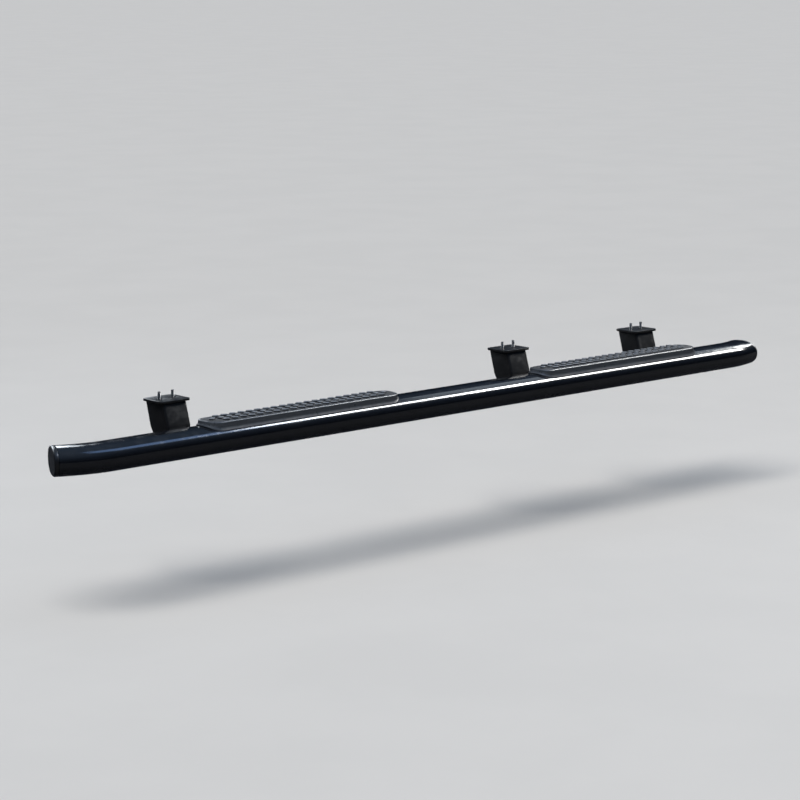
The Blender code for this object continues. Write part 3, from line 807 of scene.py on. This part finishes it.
def bracket(name):
    """Pressed channel bracket with two slots in its web."""
    low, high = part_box("bracket_" + name)
    middle, half = (low.x + high.x) / 2, (high.x - low.x) / 2
    side = rounded(CHEEK, 8)[1:]
    levels = dict((round(z, 5), y) for y, z in side)
    back = sorted((z, y) for z, y in levels.items())
    for step in range(-4, 5):
        z = KNEE + KNEE_BLEND * step / 4
        for (z0, y0), (z1, y1) in zip(back, back[1:]):
            if z0 < z < z1:
                levels[round(z, 5)] = y0 + (y1 - y0) * (z - z0) / (z1 - z0)
    rings = []
    for z, reach in sorted(levels.items()):
        web = web_line(z)
        outline = rounded([
            (half, reach, 0), (half - PLATE, reach, 0), (half - PLATE, web + PLATE, FOLD - PLATE),
            (PLATE - half, web + PLATE, FOLD - PLATE), (PLATE - half, reach, 0), (-half, reach, 0),
            (-half, web, FOLD), (half, web, FOLD),
        ], 8)
        rings.append([(middle + u, AXIS_Y + v, AXIS_Z + z) for u, v in outline])
    cuts = []
    for number in SIDES:
        bolt = middle_of(f"bar_bolt_{name}_{number}")
        cuts.append(slot_bar((bolt.x, AXIS_Y + WEB + PLATE / 2, bolt.z), *WEB_SLOT, "Y"))
    made, node, cut = loft(rings), "bracket_" + name, merged(cuts)
    return piece("channel_" + name, made, SATIN, (node,), edge=BROKEN_EDGE, cut=cut)


for name in BRACKETS:
    bracket(name)

# %% [markdown]
# A slotted plate is welded across the top of each channel.  It is what meets the sill of the
# vehicle, and its slots run along the board so that the holes line up.  The plate's long edge is
# sheared and then tumbled, so its corners are round in plan and softly broken along every edge.


# %% Top plates
PLATE_CORNER, PLATE_EDGE, PLATE_SLOT = 0.009, 0.0009, (0.017, 0.009)


def top_plate(name):
    """Mounting plate across the top of one bracket."""
    low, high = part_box("top_plate_" + name)
    centre = (low + high) / 2
    rings = []
    for z in (low.z, high.z):
        outline = rounded_box(high.x - low.x, high.y - low.y, PLATE_CORNER)
        rings.append([(centre.x + u, centre.y + v, z) for u, v in outline])
    cuts = []
    for number in SIDES:
        bolt = middle_of(f"body_bolt_{name}_{number}")
        cuts.append(slot_bar((bolt.x, bolt.y, centre.z), *PLATE_SLOT, "Z"))
    made, node, cut = loft(rings), "top_plate_" + name, merged(cuts)
    return piece("mount_plate_" + name, made, SATIN, (node,), edge=PLATE_EDGE, cut=cut)


for name in BRACKETS:
    top_plate(name)

# %% [markdown]
# Weld beads run along both edges of every shoe and where each channel meets its top plate.  A
# real bead is a row of overlapping puddles.  A thin round bar whose radius swells and dips at
# every puddle gives that look, and tapering its ends stops it from looking like wire.


# %% Weld beads
SEAT_BEAD, PLATE_BEAD, PUDDLE, PUDDLE_LAG = 0.0022, 0.0019, 0.0024, 0.0007
BEAD_SIDES, BEAD_RINGS = 14, 6
SEAT_STAND, PLATE_STAND = 0.0006, 0.0004
SEAT_STOP, PLATE_NEAR_STOP, PLATE_FAR_STOP = 0.003, 0.002, 0.004


def weld_bead(name, start, end, radius):
    """Rippled bead of weld between two points, tapered at both ends."""
    start, end = Vector(start), Vector(end)
    length = (end - start).length
    turn = (end - start).to_track_quat("Z", "Y")
    count = int(length / PUDDLE * BEAD_RINGS)
    rings = []
    for step in range(count + 1):
        along = length * step / count
        wave = abs(math.sin(math.pi * along / PUDDLE))
        from_end = max(0.0, min(along, length - along))
        taper = min(1.0, math.sqrt(from_end / (2 * radius)) + 0.15)
        size = radius * (0.80 + 0.20 * wave**0.6) * taper
        ring = []
        for spot in range(BEAD_SIDES):
            angle = 2 * math.pi * spot / BEAD_SIDES
            u, v = size * math.cos(angle), size * math.sin(angle)
            ring.append(start + turn @ Vector((u, v, along + PUDDLE_LAG * wave * math.cos(angle))))
        rings.append(ring)
    return piece(name, loft(rings), SATIN, sharp=60)


beads = 0
for name in BRACKETS:
    low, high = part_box("shoe_" + name)
    for word, sign in (("lower", -1), ("upper", 1)):
        y = AXIS_Y + flank(SHOE_HALF) + SEAT_STAND
        z = AXIS_Z + sign * (SHOE_HALF + SEAT_STAND)
        start, end = (low.x + SEAT_STOP, y, z), (high.x - SEAT_STOP, y, z)
        weld_bead(f"seat_weld_{word}_{name}", start, end, SEAT_BEAD)
        beads += 1
    low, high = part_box("bracket_" + name)
    plate_low, plate_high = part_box("top_plate_" + name)
    under = plate_low.z - PLATE_STAND
    near = AXIS_Y + web_line(BRACKET_TOP) + FOLD + PLATE_NEAR_STOP
    far = min(AXIS_Y + WEB + LEAN + DEPTH, plate_high.y) - PLATE_FAR_STOP
    for word, x in (("rear", low.x - PLATE_STAND), ("front", high.x + PLATE_STAND)):
        weld_bead(f"plate_weld_{word}_{name}", (x, near, under), (x, far, under), PLATE_BEAD)
        beads += 1
print(beads, "weld beads")

# %% [markdown]
# The board is held by M8 flange bolts: a washered head with a chamfered hexagon on it and a
# threaded shank.  Threads are worth modelling where a shank stands in the open.  Each ring of the
# shank is pushed in and out by its angle as well as its height, which winds a true helix.


# %% Flange bolts
HEAD_RADIUS, HEAD_HEIGHT, FLANGE_RADIUS, FLANGE_HEIGHT = 0.0075, 0.0053, 0.0088, 0.0012
HEAD = HEAD_HEIGHT + FLANGE_HEIGHT
BOLT_RADIUS, THREAD_PITCH, THREAD_DEPTH = 0.0039, 0.00125, 0.00055
PLAIN_SHANK, TIP_LENGTH, TIP_CHAMFER = 0.004, 0.001, 0.0007
# Rings of the head, each with its distance below the top, and of the flange from its upper edge.
DISHED_TOP = ((0.0036, 0.0007), (0.0048, 0.0006), (0.0054, 0.0))
CHAMFER = ((0.0062, 0.0), (0.0066, 0.0001), (0.0071, 0.0006), (HEAD_RADIUS, 0.0013))
FLANGE_EDGE = ((0.0009, -0.0001), (0.0002, 0.0004), (0.0, 0.0008), (0.0003, FLANGE_HEIGHT))
HEAD_FOOT = 0.0006
AROUND, THREAD_RINGS = 36, 6


def disc(radius):
    """Round ring of a bolt, as pairs."""
    turns = [2 * math.pi * step / AROUND for step in range(AROUND)]
    return [(radius * math.cos(turn), radius * math.sin(turn)) for turn in turns]


def hexagon(radius, limit):
    """Hexagon ring with its corners cut back to a round limit, as a chamfer leaves them."""
    ring = []
    for step in range(AROUND):
        angle = 2 * math.pi * step / AROUND
        off_flat = angle % (math.pi / 3) - math.pi / 6
        size = min(radius * math.cos(math.pi / 6) / math.cos(off_flat), limit)
        ring.append((size * math.cos(angle), size * math.sin(angle)))
    return ring


def bolt_mesh(length, place):
    """Bolt with its seat at 0 and its shank along local +Z, moved by a matrix."""
    rings = []

    def level(pairs, z):
        rings.append([place @ Vector((u, v, z)) for u, v in pairs])

    top = -HEAD
    for radius, depth in DISHED_TOP:
        level(disc(radius), top + depth)
    for limit, depth in CHAMFER:
        level(hexagon(HEAD_RADIUS, limit), top + depth)
    level(hexagon(HEAD_RADIUS, HEAD_RADIUS), -FLANGE_HEIGHT - HEAD_FOOT)
    for inset, rise in FLANGE_EDGE:
        level(disc(FLANGE_RADIUS - inset), rise - FLANGE_HEIGHT)
    level(disc(BOLT_RADIUS), 0.0)
    level(disc(BOLT_RADIUS), PLAIN_SHANK)
    turns = int((length - TIP_LENGTH - PLAIN_SHANK) / THREAD_PITCH * THREAD_RINGS)
    for row in range(1, turns + 1):
        turned = row / THREAD_RINGS
        ring = []
        for step, (u, v) in enumerate(disc(1.0)):
            phase = (turned - step / AROUND) % 1.0
            size = BOLT_RADIUS - THREAD_DEPTH * (1 - abs(2 * phase - 1)) * min(1, turned)
            ring.append((size * u, size * v))
        level(ring, PLAIN_SHANK + THREAD_PITCH * turned)
    level(disc(BOLT_RADIUS - TIP_CHAMFER), length)
    return loft(rings)


for name in BRACKETS:
    for side in SIDES:
        node = f"bar_bolt_{name}_{side}"
        low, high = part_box(node)
        seat = Vector(((low.x + high.x) / 2, high.y - HEAD, (low.z + high.z) / 2))
        turn = Matrix.Translation(seat) @ Matrix.Rotation(math.pi / 2, 4, "X")
        mesh = bolt_mesh(high.y - low.y - HEAD, turn)
        piece(f"tube_bolt_{name}_{side}", mesh, ZINC, (node,), sharp=50)
        node = f"body_bolt_{name}_{side}"
        low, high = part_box(node)
        seat = Vector(((low.x + high.x) / 2, (low.y + high.y) / 2, low.z + HEAD))
        mesh = bolt_mesh(high.z - low.z - HEAD, Matrix.Translation(seat))
        piece(f"sill_bolt_{name}_{side}", mesh, ZINC, (node,), sharp=50)
print("bolts", 4 * len(BRACKETS))

# %% [markdown]
# Washers are stamped, so one face has a rounded edge and the other a crisp one.  A ring of small
# sections swept round the bolt gives both, and the loft is closed on itself.


# %% Washers
WASHER_RADIUS, WASHER_BORE = 0.0095, 0.0043


def washer(name, node, axis):
    """Flat washer in the place of its CAD node, turned about the axis."""
    low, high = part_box(node)
    centre = (low + high) / 2
    thick = (high - low)["XYZ".index(axis)] / 2
    section = [
        (WASHER_BORE, -thick), (WASHER_BORE, thick - 0.0003), (WASHER_BORE + 0.0003, thick),
        (WASHER_RADIUS - 0.0005, thick), (WASHER_RADIUS - 0.0001, thick - 0.0002),
        (WASHER_RADIUS, thick - 0.0005), (WASHER_RADIUS, -thick + 0.0001),
        (WASHER_RADIUS - 0.0001, -thick),
    ]
    rings = []
    for step in range(48):
        angle = 2 * math.pi * step / 48
        ring = []
        for radius, depth in section:
            spot = (radius * math.cos(angle), radius * math.sin(angle), depth)
            ring.append(centre + Vector(spot if axis == "Z" else (spot[0], spot[2], spot[1])))
        rings.append(ring)
    return piece(name, loft(rings, True), ZINC, (node,), sharp=40)


for name in BRACKETS:
    for side in SIDES:
        washer(f"tube_washer_{name}_{side}", f"bar_washer_{name}_{side}", "Y")
        washer(f"sill_washer_{name}_{side}", f"body_washer_{name}_{side}", "Z")
print("washers", 4 * len(BRACKETS))

# %% [markdown]
# The nuts inside the tube and the push-in pins under the pads keep their CAD shapes: they sit in
# the dark and their shapes are already right.  They only need their finishes.


# %% Finishes on the pieces that stay
for node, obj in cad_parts.items():
    if node.startswith("weld_nut"):
        finish = ZINC
    elif node.startswith("pad_pin"):
        finish = CAP_PLASTIC
    else:
        continue
    obj.data.materials.clear()
    obj.data.materials.append(finish)
print("kept from the CAD part:", sum(n.startswith(("weld_nut", "pad_pin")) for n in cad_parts))

# %% [markdown]
# The board is shown as it hangs on a vehicle, a third of a metre above a plain pale floor.  The
# floor is very wide so that its far edge is never seen, and a faint mottling keeps it from
# looking like flat paint.  A photographer of black gloss lays dark card under the piece so that
# its lower half stays black; here the floor itself turns to dark card for mirrored rays only.


# %% Floor
FLOOR_Z, FLOOR_REACH = -0.4295, 60.0


def floor():
    """Wide pale floor under the board."""
    form = bmesh.new()
    bmesh.ops.create_grid(form, x_segments=2, y_segments=2, size=FLOOR_REACH)
    bmesh.ops.translate(form, verts=form.verts, vec=(0, 0, FLOOR_Z))
    mesh = bpy.data.meshes.new("floor")
    form.to_mesh(mesh)
    form.free()
    obj = bpy.data.objects.new("studio_floor", mesh)
    bpy.context.scene.collection.objects.link(obj)
    material, tree, shader = new_finish("studio_floor", 0.85, specular=0.2)
    mottle = band(tree, noise(tree, 3, 6), 0.3, 0.7)
    pale = tone(tree, mottle, (0.620, 0.605, 0.578), (0.636, 0.620, 0.592))
    # For mirrored rays the floor turns to a dark card that grows darker towards the inboard side: painted
    # shade, standing for a vehicle's shadow and underside seen in the reflections.
    inboard = band(tree, facing(tree, "Position", "Y"), -0.9, 0.0)
    card = tone(tree, inboard, (0.130, 0.128, 0.125), (0.012, 0.014, 0.020))
    path = tree.nodes.new("ShaderNodeLightPath")
    tree.links.new(tone(tree, path.outputs["Is Glossy Ray"], pale, card), shader.inputs["Base Color"])
    obj.data.materials.append(material)
    return obj


floor()
print("floor at", FLOOR_Z)

# %% [markdown]
# A black gloss tube is seen by what it mirrors.  The room is a soft gradient, dark at the horizon
# and cool and brighter overhead.  A very soft sun lights the floor evenly.  Strip lamps laid in
# line with the board, cool at the rear and white in front, draw the thin highlight on its
# outboard shoulder, and a window lamp on the inboard side picks out the brackets from there.


# %% Soft studio room
def room():
    """World with a cool gradient for the object and a plain pale backdrop for the camera."""
    world = bpy.data.worlds.new("studio_room")
    bpy.context.scene.world = world
    world.use_nodes = True
    tree = world.node_tree
    tree.nodes.clear()
    link = tree.links.new
    place = tree.nodes.new("ShaderNodeTexCoord")
    split = tree.nodes.new("ShaderNodeSeparateXYZ")
    link(place.outputs["Generated"], split.inputs["Vector"])
    ramp = tree.nodes.new("ShaderNodeValToRGB")
    link(split.outputs["Z"], ramp.inputs["Fac"])
    steps = (
        (0.0, (0.004, 0.006, 0.010)), (0.22, (0.012, 0.020, 0.034)), (0.50, (0.055, 0.085, 0.135)),
        (0.75, (0.150, 0.220, 0.330)), (1.0, (0.260, 0.360, 0.520)),
    )
    elements = ramp.color_ramp.elements
    while len(elements) < len(steps):
        elements.new(0.5)
    for element, (position, colour) in zip(elements, steps):
        element.position = position
        element.color = (*colour, 1)
    shown, lit = tree.nodes.new("ShaderNodeBackground"), tree.nodes.new("ShaderNodeBackground")
    shown.inputs["Color"].default_value = (0.62, 0.62, 0.62, 1)
    link(ramp.outputs["Color"], lit.inputs["Color"])
    path = tree.nodes.new("ShaderNodeLightPath")
    mix = tree.nodes.new("ShaderNodeMixShader")
    link(path.outputs["Is Camera Ray"], mix.inputs["Fac"])
    link(lit.outputs["Background"], mix.inputs[1])
    link(shown.outputs["Background"], mix.inputs[2])
    out = tree.nodes.new("ShaderNodeOutputWorld")
    link(mix.outputs["Shader"], out.inputs["Surface"])


def soft_lamp(name, place, aim, size, power, colour):
    """Rectangular lamp turned to a point, which shows only in what mirrors it."""
    lamp = bpy.data.lights.new(name, "AREA")
    lamp.shape = "RECTANGLE"
    lamp.size, lamp.size_y = size
    lamp.energy = power
    lamp.color = colour
    obj = bpy.data.objects.new(name, lamp)
    bpy.context.scene.collection.objects.link(obj)
    obj.location = place
    look = (Vector(aim) - Vector(place)).normalized()
    along = Vector((1, 0, 0)) - look * look.x
    across = look.cross(along.normalized())
    obj.rotation_euler = Matrix((along.normalized(), -across, -look)).transposed().to_euler()
    obj.visible_camera = False
    obj.visible_diffuse = False


def daylight(name, turn, strength, colour, spread):
    """Very soft sun that lights the floor evenly and is never mirrored."""
    sun = bpy.data.lights.new(name, "SUN")
    sun.energy, sun.color, sun.angle = strength, colour, math.radians(spread)
    obj = bpy.data.objects.new(name, sun)
    bpy.context.scene.collection.objects.link(obj)
    obj.rotation_euler = [math.radians(v) for v in turn]
    obj.visible_glossy = False


room()
board = Vector((BOARD_MIDDLE, AXIS_Y, AXIS_Z))
daylight("overhead", (8, -24, 0), 2.9, (1.0, 0.97, 0.93), 42)
AIM_BACK = 1.6
# Lamps, as (name, offset from the board's middle, size, watts, colour).
LAMPS = (
    ("strip_front", (3.05, -0.35, 2.2), (1.4, 0.80), 125, (1.0, 0.99, 0.97)),
    ("strip_middle", (1.93, -0.35, 2.2), (0.84, 0.60), 50, (0.95, 0.98, 1.0)),
    ("strip_quarter", (1.33, -0.35, 2.2), (0.36, 0.52), 20, (0.90, 0.95, 1.0)),
    ("strip_rear", (0.40, -0.35, 2.2), (1.5, 0.80), 11, (0.30, 0.52, 1.0)),
    ("strip_tip", (4.40, 1.00, 2.2), (0.8, 0.80), 30, (1.0, 0.99, 0.97)),
    ("inboard_glow", (3.30, 0.95, 2.2), (2.0, 1.50), 10, (0.80, 0.90, 1.0)),
    ("inboard_window", (-0.10, 3.20, 1.3), (2.6, 1.20), 70, (0.86, 0.93, 1.0)),
)
for name, offset, size, power, colour in LAMPS:
    spot = board + Vector(offset)
    aim = Vector((spot.x - AIM_BACK, board.y, board.z)) if offset[0] > 0 else board
    soft_lamp(name, spot, aim, size, power, colour)

# %% [markdown]
# The camera looks along the board from behind and outboard, a little above it, through a long
# lens, which keeps the tube's taper gentle.  The view transform is the plain one, so the finishes
# keep the tones that were given to them.


# %% Camera
CAMERA_PLACE = Vector((-4.587, -4.701, 1.0507))
CAMERA_AIM = Vector((-0.462, -0.106, -0.065))
camera = bpy.data.objects.new("camera", bpy.data.cameras.new("camera"))
bpy.context.scene.collection.objects.link(camera)
camera.data.sensor_width = 36
camera.data.lens = 118
camera.data.clip_end = 200
camera.location = CAMERA_PLACE
camera.rotation_euler = (CAMERA_AIM - CAMERA_PLACE).to_track_quat("-Z", "Y").to_euler()
bpy.context.scene.camera = camera
bpy.context.scene.view_settings.view_transform = "Standard"
print("camera", round((CAMERA_AIM - CAMERA_PLACE).length, 2), "m from the board")
